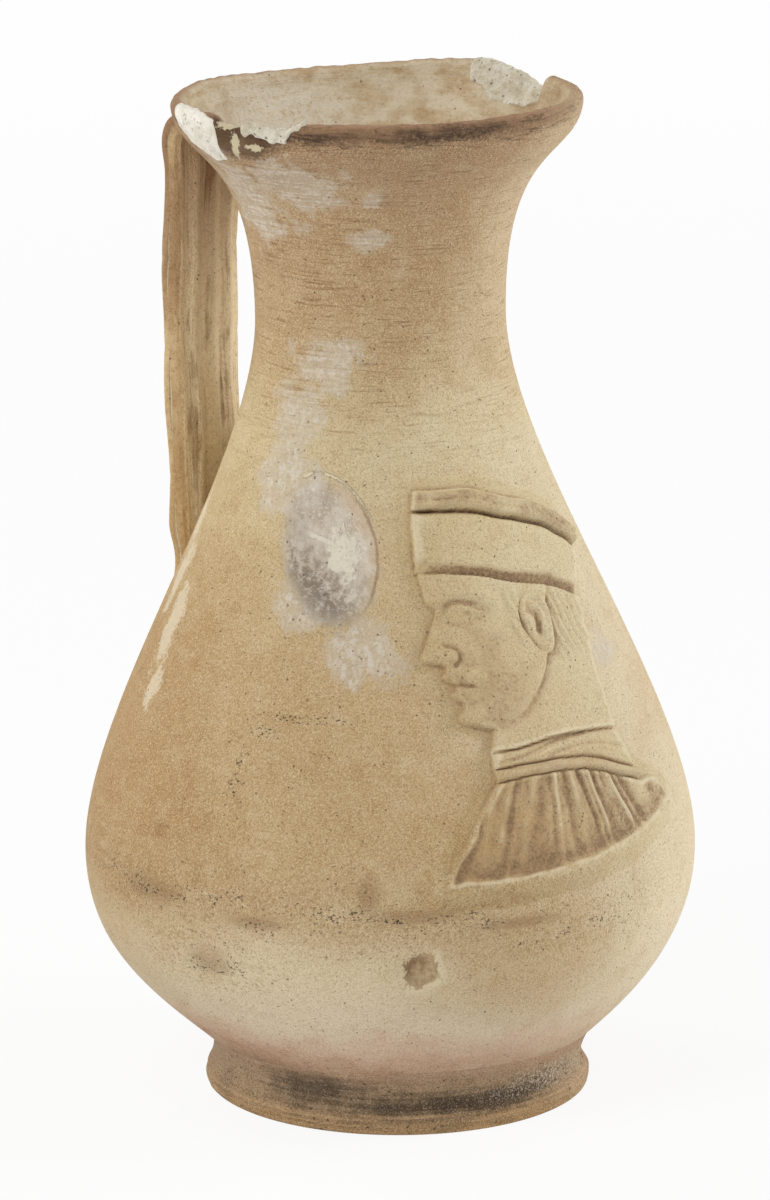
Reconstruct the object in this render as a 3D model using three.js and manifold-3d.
// Wheel-thrown earthenware jug with a strap handle, an applied relief bust and plaster repairs.
// Millimetres and degrees, +Z up. The origin is the middle of the foot where it stands,
// the handle is towards -X, and azimuths turn from +X towards +Y.

import * as THREE from 'three';
import { mergeVertices } from 'three/addons/utils/BufferGeometryUtils.js';
import Module from 'manifold-3d';

const wasm = await Module();
wasm.setup();

// Thrown body: outer radii and their heights above the table
const rimHeight = 280;
const mouthRadius = 56.3;
const neckRadius = 34.5;
const neckHeight = 219;
const bellyRadius = 85.4;
const bellyHeight = 68.4;
const waistRadius = 52; // where the body sits on its foot
const waistHeight = 14;
const seamHeight = 192; // the neck is luted to the belly here
const leanAngle = 1.16; // the thrown body leans this much towards its handle
const rimRise = 2.2; // the rim is pulled up this much at its back
const rimRiseAzimuth = 90;
const rimRiseSpread = 48; // to either side

// Walls
const bellyWall = 6.5;
const neckWall = 5;
const lipWall = 4.6;
const floorThickness = 8;

// How full the wall's curves are, as shares of the height that each one climbs
const waistFlare = 42; // degrees above level as the wall leaves the foot
const waistFullness = 0.42;
const underBellyFullness = 0.47;
const overBellyFullness = 0.26;
const underNeckFullness = 0.27;
const overNeckFullness = 0.82;
const lipFullness = 0.28;
const lipFlare = 84; // degrees above level where the wall ends in the lip

// Foot ring
const footRadius = 54.2;
const footRingWidth = 10;
const footEdge = 3; // height of the foot's rounded lower edge
const footBevel = 1.2;
const footSlope = 0.7; // share of the taper that is done at half the foot's height
const footNeckShare = 0.86; // share of the foot's height at which it is as narrow as the waist

// Strap handle
const strapWidth = 34;
const strapThickness = 8;
const strapReachShare = 0.072; // how far out the strap stands, from the mouth's radius to the belly's
const strapBow = 2.2; // how far the strap draws in below its upper bend
const strapRootFlare = 5; // extra width where each end is pressed on the wall
const strapTopDrop = 9; // upper root below the rim
const strapFootHeight = 141;
const strapBend = 15; // height of the upper bend
const strapTurn = 0.4; // share of the way out at which the strap turns down
const strapFullest = 0.55; // share of the strap's height at which it stands out most
const strapRootLength = 16; // how far the lower root runs down inside the wall
const strapEdgePower = 6; // how square the strap's edges are
const strapRidges = 4;
const strapRidgeHeight = 0.6;

// Slip joints
const luteGap = 0.3; // joint between pieces that are stuck on with slip
const sprigGap = 0.4; // joint between neighbouring pieces of the relief

// Hollows pressed into the belly wall
const dentAzimuth = -76.5;
const dentHeight = 164;
const dentWidth = 27;
const dentLength = 43;
const dentDepth = 2.8;
const dentTilt = -6;
const pockAzimuth = -54.7;
const pockHeight = 55.3;
const pockWidth = 10.5;
const pockDepth = 1.3;

// Relief bust, drawn flat from the middle of the collar's upper edge and wrapped on the wall
const bustAzimuth = -26;
const bustHeight = 111.2;
const neckFront = -16;
const neckBack = 26;
const collarArch = 4;
const collarStandHeight = 4.8;
const collarFoldHeight = 3.5;
const shoulderReach = 6;
const shoulderSlope = 7.6;
const hemFront = -34.8;
const hemBack = 45.2;
const tunicDrop = 26.5; // from the collar fold to the front corner of the hem
const hemSlope = 10.7; // the back corner of the hem is this much higher
const hemSag = 3.2; // how far the hem hangs below the line between its corners
const pleats = 8;

// Head, set out by thirds: brow to nose base, and nose base to chin
const faceThird = 17.6;
const faceFront = -21;
const chinRise = 7; // chin above the collar
const headTilt = 3;
const napeHollow = 2;

// Lengths on the head in thirds of the face
const hairline = 2.5;
const jawStart = 0.1;
const jawRise = 0.9;
const jawReach = 1.6;
const jawBelow = 0.16; // the jaw's edge is rounded from here
const jawAbove = 0.05;
const faceRoll = 0.5; // how far the face rolls back from its front edge
const napeRoll = 0.6;
const earBehind = 1.62;
const earLevel = 1.5;
const earWidth = 0.58;
const earLength = 1;

// Ear
const earLean = 10;
const earHollow = 0.4; // share of the ear's height that is left inside its rim
const earRimShare = 0.72; // where the ear's rim is highest, from its middle to its edge
const earRimWidth = 0.25;

// Cap
const capTilt = 16; // the cap sits back on the head
const capLength = 52.3;
const capOverhang = 0.8;
const capHeight = 22.4;
const capBackHeight = 18.6;
const capBackFlare = 3.4;
const capBow = 1.8;
const crownBow = 5.6;
const bandStart = 0.25; // how far into its swelling the cap's side begins
const weltShare = 0.74; // the crown's welt takes the rest of the cap's height

// How far each piece of the relief stands off the wall
const sprigEdge = 1.4;
const headRelief = 4.4;
const neckRelief = 2.8;
const earRelief = 1.6;
const bandRelief = 3.2;
const weltRelief = 4.2;
const standRelief = 2.6;
const foldRelief = 3.6;
const tunicRelief = 3.4;
const pleatRelief = 0.8;

// Plaster repairs
const frontBiteAzimuth = -92;
const frontBiteWidth = 22;
const frontBiteDepth = 6;
const frontBiteWear = 0.8; // plaster left lower than the lip
const backBiteAzimuth = 72;
const backBiteWidth = 30;
const backBiteDepth = 10;
const backBiteWear = 1.8;
const flareFillAzimuth = -115.5;
const flareFillDrop = 10; // middle of the patch below the rim
const flareFillWidth = 8.5;
const flareFillLength = 13;
const flareFillDepth = 1.6;
const flareFillTilt = 12;
const fillProud = 0.4;
const biteRoundness = 0.7; // how full the lower corners of a bite are
const biteShoulder = 0.33; // share of a bite's depth at which its corners begin
const biteInside = 0.6; // share of a bite's cutter that lies inside the rim

// Facets
const turnSteps = 52;
const outlineSteps = 13;
const insideSteps = 9;
const strapSteps = 23;
const strapFaceSteps = 16;

const radians = THREE.MathUtils.degToRad;
const lerp = THREE.MathUtils.lerp;
const vec2 = (x, y) => new THREE.Vector2(x, y);

function toSolid(geometry) {
  const bare = geometry.clone();
  bare.deleteAttribute('normal');
  bare.deleteAttribute('uv');
  const merged = mergeVertices(bare, 1e-4);
  const corners = merged.index.array;
  const kept = [];
  for (let i = 0; i < corners.length; i += 3) {
    const [a, b, c] = [corners[i], corners[i + 1], corners[i + 2]];
    if (a !== b && b !== c && c !== a) kept.push(a, b, c);
  }
  const vertProperties = new Float32Array(merged.attributes.position.array);
  const triVerts = new Uint32Array(kept);
  return new wasm.Manifold(new wasm.Mesh({ numProp: 3, vertProperties, triVerts }));
}

function toGeometry(solid) {
  const { vertProperties, triVerts } = solid.getMesh();
  const geometry = new THREE.BufferGeometry();
  geometry.setAttribute('position', new THREE.BufferAttribute(vertProperties, 3));
  geometry.setIndex(new THREE.BufferAttribute(triVerts, 1));
  geometry.computeVertexNormals();
  return geometry;
}

function fromArrays(positions, index) {
  const geometry = new THREE.BufferGeometry();
  geometry.setAttribute('position', new THREE.Float32BufferAttribute(positions, 3));
  geometry.setIndex(index);
  geometry.computeVertexNormals();
  return geometry;
}

// Turns a profile of radius and height about the jug's axis
function turned(profile) {
  const geometry = new THREE.LatheGeometry(profile, turnSteps);
  return geometry.rotateX(Math.PI / 2);
}

// Outer wall as radius and height, from the foot joint up to the lip
const lipHeight = rimHeight - lipWall / 2;
const waist = vec2(waistRadius, waistHeight);
const belly = vec2(bellyRadius, bellyHeight);
const throat = vec2(neckRadius, neckHeight);
const mouth = vec2(mouthRadius, lipHeight);

function pull(point, degrees, length) {
  const angle = radians(degrees);
  return point.clone().add(vec2(Math.cos(angle), Math.sin(angle)).multiplyScalar(length));
}

function wallStretch(low, lowAngle, lowFullness, high, highAngle, highFullness) {
  const climb = high.y - low.y;
  const lowPull = pull(low, lowAngle, lowFullness * climb);
  const highPull = pull(high, highAngle + 180, highFullness * climb);
  return new THREE.CubicBezierCurve(low, lowPull, highPull, high);
}

const wallCurve = new THREE.CurvePath();
wallCurve.add(wallStretch(waist, waistFlare, waistFullness, belly, 90, underBellyFullness));
wallCurve.add(wallStretch(belly, 90, overBellyFullness, throat, 90, underNeckFullness));
wallCurve.add(wallStretch(throat, 90, overNeckFullness, mouth, lipFlare, lipFullness));
const wallLength = wallCurve.getLength();

// Point of the outer wall at a distance along its profile, with the direction out of the wall
function wallAt(arc) {
  const share = THREE.MathUtils.clamp(arc / wallLength, 0, 1);
  const point = wallCurve.getPoint(share);
  const along = wallCurve.getTangent(share);
  return { point, out: vec2(along.y, -along.x) };
}

function arcAtHeight(height) {
  let low = 0;
  let high = wallLength;
  for (let i = 0; i < 40; i++) {
    const middle = (low + high) / 2;
    if (wallAt(middle).point.y < height) low = middle;
    else high = middle;
  }
  return low;
}

function wallThickness(height) {
  const aboveBelly = THREE.MathUtils.smoothstep(height, bellyHeight, neckHeight);
  const aboveNeck = THREE.MathUtils.smoothstep(height, neckHeight, lipHeight);
  return lerp(lerp(bellyWall, neckWall, aboveBelly), lipWall, aboveNeck);
}

function wallRun(fromArc, toArc, steps, liftAt) {
  const points = [];
  for (let i = 0; i <= steps; i++) {
    const { point, out } = wallAt(lerp(fromArc, toArc, i / steps));
    points.push(point.clone().addScaledVector(out, liftAt(point.y)));
  }
  return points;
}

const onOutside = () => 0;
const onInside = (height) => -wallThickness(height);
const seamArc = arcAtHeight(seamHeight);

function bellyBlank() {
  const top = seamArc - luteGap / 2;
  const floorHeight = waistHeight + floorThickness;
  const outside = wallRun(0, top, outlineSteps + 4, onOutside);
  const inside = wallRun(0, top, insideSteps + 3, onInside);
  const hollow = inside.filter((point) => point.y > floorHeight + floorThickness / 4).reverse();
  const corner = hollow[hollow.length - 1].x - floorThickness / 2;
  return turned([
    vec2(0, waistHeight),
    ...outside,
    ...hollow,
    vec2(corner, floorHeight),
    vec2(0, floorHeight),
  ]);
}

function lipArc() {
  const { point, out } = wallAt(wallLength);
  const centre = point.clone().addScaledVector(out, -lipWall / 2);
  const up = vec2(-out.y, out.x);
  const points = [];
  for (const angle of [36, 72, 108, 144]) {
    const across = out.clone().multiplyScalar(Math.cos(radians(angle)));
    const rise = up.clone().multiplyScalar(Math.sin(radians(angle)));
    points.push(across.add(rise).multiplyScalar(lipWall / 2).add(centre));
  }
  return points;
}

function neckBlank() {
  const bottom = seamArc + luteGap / 2;
  const outside = wallRun(bottom, wallLength, outlineSteps, onOutside);
  const inside = wallRun(bottom, wallLength, insideSteps, onInside).reverse();
  return turned([...outside, ...lipArc(), ...inside, outside[0]]);
}

// The whole body as one filled solid, swollen by the slip joint: it cuts what is stuck on the wall
function wallEnvelope() {
  const outside = wallRun(0, wallLength, outlineSteps * 3, () => luteGap);
  return turned([
    vec2(0, waistHeight - luteGap),
    vec2(waistRadius, waistHeight - luteGap),
    ...outside.slice(1),
    vec2(mouthRadius + luteGap, rimHeight),
    vec2(0, rimHeight),
  ]);
}

// Frame on the wall: x goes round the jug, y climbs the wall and z points out of it
function wallFrame(azimuth, height) {
  const { point, out } = wallAt(arcAtHeight(height));
  const turn = new THREE.Matrix4().makeRotationZ(radians(azimuth));
  const basis = new THREE.Matrix4().makeBasis(
    new THREE.Vector3(0, 1, 0),
    new THREE.Vector3(-out.y, 0, out.x),
    new THREE.Vector3(out.x, 0, out.y),
  );
  return turn.multiply(basis.setPosition(point.x, 0, point.y));
}

// Shallow oval hollow: an ellipsoid that dips into the wall by the given depth
function hollowCutter(azimuth, height, width, length, depth, tilt) {
  const half = 2 * depth; // half the thickness of the ellipsoid
  const spread = 1 / Math.sqrt(1 - ((half - depth) / half) ** 2);
  const geometry = new THREE.SphereGeometry(1, 22, 14);
  geometry.scale((spread * width) / 2, (spread * length) / 2, half);
  geometry.rotateZ(radians(tilt));
  geometry.translate(0, 0, half - depth);
  return toSolid(geometry.applyMatrix4(wallFrame(azimuth, height)));
}

// A flat drawing laid on the wall: x is measured round the jug and y up the wall
function wallPlace(azimuth, height) {
  const start = arcAtHeight(height);
  return (x, y, lift) => {
    const { point, out } = wallAt(start + y);
    const angle = radians(azimuth) + x / point.x;
    const radius = point.x + out.x * lift;
    return new THREE.Vector3(
      radius * Math.cos(angle), radius * Math.sin(angle), point.y + out.y * lift);
  };
}

// Closed pad between two grids of points: level 0 is its underside and level 1 its face
function pad(columns, rows, pointAt) {
  const positions = [];
  const index = [];
  const stride = columns + 1;
  const layer = stride * (rows + 1);
  const at = (column, row, level) => level * layer + row * stride + column;
  for (const level of [0, 1]) {
    for (let row = 0; row <= rows; row++) {
      for (let column = 0; column <= columns; column++) {
        positions.push(...pointAt(column / columns, row / rows, level).toArray());
      }
    }
  }
  for (let row = 0; row < rows; row++) {
    for (let column = 0; column < columns; column++) {
      const face = [[0, 0], [1, 0], [1, 1], [0, 1]];
      const [a, b, c, d] = face.map(([i, j]) => at(column + i, row + j, 1));
      const [e, f, g, h] = face.map(([i, j]) => at(column + i, row + j, 0));
      index.push(a, b, c, a, c, d, e, g, f, e, h, g);
    }
  }
  const border = [];
  for (let column = 0; column < columns; column++) border.push([column, 0]);
  for (let row = 0; row < rows; row++) border.push([columns, row]);
  for (let column = columns; column > 0; column--) border.push([column, rows]);
  for (let row = rows; row > 0; row--) border.push([0, row]);
  border.forEach((from, i) => {
    const to = border[(i + 1) % border.length];
    const [p, q] = [at(...from, 0), at(...to, 0)];
    const [r, s] = [at(...to, 1), at(...from, 1)];
    index.push(p, q, r, p, r, s);
  });
  return fromArrays(positions, index);
}

// Square to disc, so that an oval pad has an even grid
function discPoint(u, v) {
  const x = 2 * u - 1;
  const y = 2 * v - 1;
  return vec2(x * Math.sqrt(1 - (y * y) / 2), y * Math.sqrt(1 - (x * x) / 2));
}

// Oval pad on the wall, from one lift to another
function ovalPad(azimuth, height, width, length, tilt, fromLift, toLift) {
  const place = wallPlace(azimuth, height);
  return pad(8, 8, (u, v, level) => {
    const spot = discPoint(u, v).multiply(vec2(width / 2, length / 2));
    spot.rotateAround(vec2(0, 0), radians(tilt));
    return place(spot.x, spot.y, level ? toLift : fromLift);
  });
}

// Bite out of the rim, drawn across the wall and pushed through it
function rimBite(azimuth, width, depth, inset, topAtStart, topAtEnd) {
  const half = width / 2 - inset;
  const bottom = inset - depth;
  const shoulder = -depth * biteShoulder;
  const outline = new THREE.Shape();
  outline.moveTo(-half, topAtStart);
  outline.lineTo(-half, shoulder);
  outline.quadraticCurveTo(-half * biteRoundness, bottom, 0, bottom);
  outline.quadraticCurveTo(half * biteRoundness, bottom, half, shoulder);
  outline.lineTo(half, topAtEnd);
  outline.closePath();
  const through = mouthRadius / 2;
  const geometry = new THREE.ExtrudeGeometry(outline, {
    depth: through, bevelEnabled: false, curveSegments: 5,
  });
  geometry.applyMatrix4(new THREE.Matrix4().makeBasis(
    new THREE.Vector3(0, 1, 0),
    new THREE.Vector3(0, 0, 1),
    new THREE.Vector3(1, 0, 0),
  ));
  geometry.translate(mouthRadius - through * biteInside, 0, rimHeight);
  return toSolid(geometry.rotateZ(radians(azimuth)));
}

function frontBite(inset, top) {
  return rimBite(frontBiteAzimuth, frontBiteWidth, frontBiteDepth, inset, top, top);
}

function backBite(inset, topAtStart, topAtEnd) {
  return rimBite(backBiteAzimuth, backBiteWidth, backBiteDepth, inset, topAtStart, topAtEnd);
}

function flareFill(inset, fromLift, toLift) {
  const width = flareFillWidth - 2 * inset;
  const length = flareFillLength - 2 * inset;
  const height = rimHeight - flareFillDrop;
  return ovalPad(flareFillAzimuth, height, width, length, flareFillTilt, fromLift, toLift);
}

function bellyWithHollows() {
  const dent = hollowCutter(dentAzimuth, dentHeight, dentWidth, dentLength, dentDepth, dentTilt);
  const pock = hollowCutter(pockAzimuth, pockHeight, pockWidth, pockWidth, pockDepth, 0);
  return toGeometry(toSolid(bellyBlank()).subtract(dent).subtract(pock));
}

function neckWithBites() {
  const clear = lipWall; // the cutters stand clear of the rim by this much
  const recess = toSolid(flareFill(0, -flareFillDepth, clear));
  const bitten = toSolid(neckBlank()).subtract(frontBite(0, clear)).subtract(backBite(0, clear, clear));
  return toGeometry(bitten.subtract(recess));
}

function frontFill() {
  return toGeometry(toSolid(neckBlank()).intersect(frontBite(luteGap, -frontBiteWear)));
}

function backFill() {
  const plug = backBite(luteGap, -backBiteWear, -luteGap);
  return toGeometry(toSolid(neckBlank()).intersect(plug));
}

// Foot ring: upright on the table, its top cut to the leaning body
function footRing() {
  const inner = footRadius - footRingWidth;
  const blankTop = waistHeight + footEdge;
  const ring = turned([
    vec2(inner, 0),
    vec2(footRadius - footBevel, 0),
    vec2(footRadius - footBevel / 4, footBevel / 2),
    vec2(footRadius, footEdge),
    vec2(lerp(footRadius, waistRadius, footSlope), waistHeight / 2),
    vec2(waistRadius, waistHeight * footNeckShare),
    vec2(waistRadius, blankTop),
    vec2(inner - footBevel, blankTop),
    vec2(inner - footBevel, waistHeight / 2),
    vec2(inner, 0),
  ]);
  const leaning = wallEnvelope().applyMatrix4(leanMatrix);
  return toGeometry(toSolid(ring).subtract(toSolid(leaning)));
}

// Section of the strap: rounded edges and lengthwise ridges on both faces
function strapSection(width) {
  const face = [];
  for (let i = 0; i <= strapFaceSteps; i++) {
    const across = Math.cos((Math.PI * i) / strapFaceSteps);
    const round = Math.sqrt(1 - across ** strapEdgePower);
    const ridge = strapRidgeHeight * Math.cos(Math.PI * strapRidges * across);
    face.push(vec2((across * width) / 2, round * (strapThickness / 2 + ridge)));
  }
  const back = face.slice(1, -1).reverse().map((point) => vec2(point.x, -point.y));
  return [...face, ...back];
}

// Middle line of the strap, from inside the flare to inside the belly wall
function strapPath() {
  const strapReach = lerp(mouthRadius, bellyRadius, strapReachShare);
  const top = wallAt(arcAtHeight(rimHeight - strapTopDrop)).point;
  const foot = wallAt(arcAtHeight(strapFootHeight)).point;
  const half = strapThickness / 2;
  const stations = [
    vec2(top.x - strapThickness, top.y + half / 2),
    vec2(lerp(top.x, strapReach, strapTurn), top.y - half / 2),
    vec2(strapReach - strapBow, top.y - strapBend),
    vec2(strapReach, lerp(foot.y, top.y, strapFullest)),
    vec2(foot.x - half, foot.y),
    vec2(foot.x - half - strapThickness, foot.y - strapRootLength),
  ];
  return new THREE.CatmullRomCurve3(stations.map((at) => new THREE.Vector3(-at.x, 0, at.y)));
}

function strapSweep() {
  const path = strapPath();
  const positions = [];
  const index = [];
  let count = 0;
  for (let i = 0; i <= strapSteps; i++) {
    const share = i / strapSteps;
    const centre = path.getPointAt(share);
    const along = path.getTangentAt(share);
    const out = new THREE.Vector3(along.z, 0, -along.x);
    const rootShare = (2 * share - 1) ** 8;
    const section = strapSection(strapWidth + strapRootFlare * rootShare);
    count = section.length;
    for (const spot of section) {
      const corner = centre.clone().addScaledVector(out, spot.y);
      positions.push(corner.x, spot.x, corner.z);
    }
  }
  for (let i = 0; i < strapSteps; i++) {
    for (let k = 0; k < count; k++) {
      const next = (k + 1) % count;
      const [a, b] = [i * count + k, (i + 1) * count + k];
      const [c, d] = [(i + 1) * count + next, i * count + next];
      index.push(a, b, c, a, c, d);
    }
  }
  const last = strapSteps * count;
  for (let k = 1; k < count - 1; k++) {
    index.push(0, k, k + 1, last, last + k + 1, last + k);
  }
  return fromArrays(positions, index);
}

function strapHandle() {
  return toGeometry(toSolid(strapSweep()).subtract(toSolid(wallEnvelope())));
}

// Lines of the relief in its flat drawing, each from the front to the back of the figure
const bow = (from, middle, to) => new THREE.QuadraticBezierCurve(from, middle, to);
const neckMiddle = (neckFront + neckBack) / 2;
const collarBack = neckBack + shoulderReach;
const collarMiddle = (neckFront + collarBack) / 2;
const foldRise = collarArch - shoulderSlope / 2;
const tunicTop = -collarStandHeight - collarFoldHeight;
const hemLevel = tunicTop - tunicDrop;

const collarLine = bow(vec2(neckFront, 0), vec2(neckMiddle, collarArch), vec2(neckBack, 0));
const foldLine = bow(
  vec2(neckFront, -collarStandHeight),
  vec2(collarMiddle, collarArch - collarStandHeight),
  vec2(collarBack, -collarStandHeight - shoulderSlope));
const tunicLine = bow(
  vec2(neckFront, tunicTop),
  vec2(collarMiddle, collarArch + tunicTop + foldRise),
  vec2(collarBack, tunicTop - shoulderSlope));
const hemLine = bow(
  vec2(hemFront, hemLevel),
  vec2((hemFront + hemBack) / 2, hemLevel + hemSlope / 2 - 2 * hemSag),
  vec2(hemBack, hemLevel + hemSlope));

// Cap lines, in a frame that starts at the cap's front lower corner and tips back with it
const capLevel = chinRise + hairline * faceThird;
const capFront = faceFront - capOverhang - Math.tan(radians(headTilt)) * hairline * faceThird;
const capSpot = (x, y) => vec2(x, y).rotateAround(vec2(0, 0), -radians(capTilt))
  .add(vec2(capFront, capLevel));
const capLine = bow(capSpot(0, 0), capSpot(capLength / 2, 2 * capBow), capSpot(capLength, 0));
const crownLine = bow(
  capSpot(0, capHeight),
  capSpot(capLength / 2, (capHeight + capBackHeight) / 2 + 2 * crownBow),
  capSpot(capLength + capBackFlare, capBackHeight));

const between = (low, high, share) => ({
  getPoint: (u) => low.getPoint(u).lerp(high.getPoint(u), share),
});
const weltLine = between(capLine, crownLine, weltShare);

const onBust = wallPlace(bustAzimuth, bustHeight);

// Strip of clay between two lines of the drawing, inset by half a joint at both
function strip(low, high, columns, rows, reliefAt) {
  return pad(columns, rows, (u, v, level) => {
    const bottom = low.getPoint(u);
    const top = high.getPoint(u);
    const inset = sprigGap / 2 / bottom.distanceTo(top);
    const spot = bottom.lerp(top, lerp(inset, 1 - inset, v));
    return onBust(spot.x, spot.y, level ? reliefAt(u, v) : luteGap);
  });
}

const swell = (share) => Math.sqrt(Math.max(0, 1 - (2 * share - 1) ** 4));

function capBand() {
  const relief = (u, v) => lerp(sprigEdge, bandRelief, swell(u) * swell(lerp(bandStart, 1 - bandStart, v)));
  return strip(capLine, weltLine, 16, 6, relief);
}

function capCrown() {
  const relief = (u, v) => lerp(sprigEdge, weltRelief, swell(u) * Math.sin(Math.PI * v));
  return strip(weltLine, crownLine, 18, 5, relief);
}

function collarStand() {
  const relief = (u) => lerp(sprigEdge, standRelief, swell(u));
  return strip(foldLine, collarLine, 14, 3, relief);
}

function collarFold() {
  const relief = (u, v) => lerp(sprigEdge, foldRelief, swell(u) * Math.sin(Math.PI * v));
  return strip(tunicLine, foldLine, 16, 4, relief);
}

function tunic() {
  const relief = (u, v) => {
    const fold = pleatRelief * Math.cos(2 * Math.PI * pleats * u) * (1 - v / 2);
    return lerp(sprigEdge, tunicRelief - v + fold, swell(u));
  };
  return strip(hemLine, tunicLine, pleats * 4, 6, relief);
}

// Front edge of the head in thirds ahead of the face line and above the chin, on plain proportions
const faceOutline = new THREE.SplineCurve([
  [-0.42, -0.03], [0.02, 0.16], [-0.07, 0.4], [0.07, 0.55], [-0.01, 0.67], [0.13, 0.82],
  [0.07, 1], [0.38, 1.12], [0.17, 1.5], [-0.03, 1.86], [0.05, 2.06], [0, hairline],
].map(([ahead, level]) => vec2(ahead, level)));

function facePoint(ahead, level) {
  const lean = Math.tan(radians(headTilt)) * level * faceThird;
  return vec2(faceFront - ahead * faceThird - lean, chinRise + level * faceThird);
}

// Front edge of the head and neck: up the throat, round the chin and up the face
const throatShare = 0.16;
function headFrontPoint(v) {
  if (v < throatShare) {
    const start = vec2(neckFront + sprigGap, sprigGap);
    return start.lerp(facePoint(...faceOutline.getPoint(0).toArray()), v / throatShare);
  }
  const spot = faceOutline.getPoint((v - throatShare) / (1 - throatShare));
  return facePoint(spot.x, spot.y);
}

function headBackPoint(v) {
  const top = capLine.getPoint(1);
  const nape = bow(vec2(neckBack, sprigGap), vec2(neckBack - napeHollow, top.y / 2), top);
  return nape.getPoint(v);
}

// Swellings and hollows of the head, each a soft mound: ahead and level in thirds, spread, height
const headForms = [
  { ahead: -0.42, level: 1.78, wide: 0.3, tall: 0.17, height: -1.2 }, // eye socket
  { ahead: -0.4, level: 1.77, wide: 0.14, tall: 0.1, height: 1.2 }, // eye
  { ahead: -0.36, level: 2.06, wide: 0.4, tall: 0.1, height: 0.7 }, // brow
  { ahead: -0.02, level: 1.16, wide: 0.14, tall: 0.12, height: 1 }, // side of the nose
  { ahead: -0.24, level: 0.84, wide: 0.26, tall: 0.09, height: 0.9 }, // moustache
  { ahead: -0.16, level: 0.55, wide: 0.16, tall: 0.07, height: 0.6 }, // lower lip
  { ahead: -0.95, level: 0.75, wide: 0.3, tall: 0.4, height: -0.5 }, // hollow of the cheek
];

// Level of the jaw's edge, rising from the chin to the ear
const jawLevel = (ahead) => jawStart + jawRise * (ahead / jawReach) ** 4;

function headReliefAt(spot, frontEdge, backEdge) {
  const level = (spot.y - chinRise) / faceThird;
  const ahead = (facePoint(0, level).x - spot.x) / faceThird;
  const jaw = jawLevel(ahead);
  const onFace = THREE.MathUtils.smoothstep(level, jaw - jawBelow, jaw + jawAbove);
  const behindFront = THREE.MathUtils.smoothstep(spot.x - frontEdge.x, 0, faceThird * faceRoll);
  const beforeBack = THREE.MathUtils.smoothstep(backEdge.x - spot.x, 0, faceThird * napeRoll);
  let relief = lerp(sprigEdge, lerp(neckRelief, headRelief, onFace), Math.min(behindFront, beforeBack));
  for (const form of headForms) {
    const x = (ahead - form.ahead) / form.wide;
    const y = (level - form.level) / form.tall;
    relief += form.height * Math.exp(-x * x - y * y) * behindFront;
  }
  return relief;
}

function head() {
  return pad(17, 25, (u, v, level) => {
    const front = headFrontPoint(v);
    const back = headBackPoint(v);
    const arch = 4 * u * (1 - u);
    const spot = front.clone().lerp(back, u);
    spot.y += arch * (capBow * v * v + (collarArch / 2) * (1 - v) ** 2) - sprigGap * v;
    return onBust(spot.x, spot.y, level ? headReliefAt(spot, front, back) : luteGap);
  });
}

// Ear between the brow and the nose base, just behind the middle of the head
function ear() {
  const middle = facePoint(-earBehind, earLevel);
  const size = vec2(earWidth, earLength).multiplyScalar(faceThird / 2);
  return pad(8, 8, (u, v, level) => {
    const disc = discPoint(u, v);
    const edge = disc.length();
    const rim = Math.exp(-(((edge - earRimShare) / earRimWidth) ** 2));
    const spot = disc.multiply(size).rotateAround(vec2(0, 0), radians(earLean)).add(middle);
    const base = headRelief + luteGap;
    return onBust(spot.x, spot.y, level ? base + earRelief * lerp(earHollow, 1, rim) : base);
  });
}

// Pulls up the back of the rim, less and less towards the narrow of the neck
function pulledUp(geometry) {
  const spots = geometry.attributes.position;
  for (let i = 0; i < spots.count; i++) {
    const azimuth = Math.atan2(spots.getY(i), spots.getX(i));
    const aside = Math.abs(azimuth - radians(rimRiseAzimuth)) / radians(rimRiseSpread);
    const share = Math.cos((Math.PI / 2) * Math.min(1, aside)) ** 2;
    const upwards = THREE.MathUtils.smoothstep(spots.getZ(i), neckHeight, rimHeight);
    spots.setZ(i, spots.getZ(i) + rimRise * share * upwards);
  }
  geometry.computeVertexNormals();
  return geometry;
}

// Clays and finishes
const clay = (color, roughness) => new THREE.MeshStandardMaterial({ color, roughness, metalness: 0 });
const finishes = {
  belly: clay(0xc9ab78, 0.86),
  neck: clay(0xc5a26c, 0.86),
  foot: clay(0x8f6f4f, 0.9),
  strap: clay(0xa98556, 0.84),
  relief: clay(0xc4a772, 0.88),
  plaster: clay(0xe3dccb, 0.94),
};

function piece(name, geometry, finish) {
  const mesh = new THREE.Mesh(geometry, finishes[finish].clone());
  mesh.name = name;
  return mesh;
}

const thrownBody = new THREE.Group();
thrownBody.rotation.y = -radians(leanAngle);
thrownBody.updateMatrix();
const leanMatrix = thrownBody.matrix;

thrownBody.add(
  piece('belly', bellyWithHollows(), 'belly'),
  piece('neck', pulledUp(neckWithBites()), 'neck'),
  piece('strap_handle', strapHandle(), 'strap'),
  piece('cap_crown', capCrown(), 'relief'),
  piece('cap_band', capBand(), 'relief'),
  piece('head', head(), 'relief'),
  piece('ear', ear(), 'relief'),
  piece('collar_stand', collarStand(), 'relief'),
  piece('collar_fold', collarFold(), 'relief'),
  piece('tunic', tunic(), 'relief'),
  piece('rim_fill_front', frontFill(), 'plaster'),
  piece('rim_fill_back', pulledUp(backFill()), 'plaster'),
  piece('flare_fill', flareFill(luteGap, luteGap - flareFillDepth, fillProud), 'plaster'),
);

const jug = new THREE.Group();
jug.add(thrownBody, piece('foot_ring', footRing(), 'foot'));

export default jug;
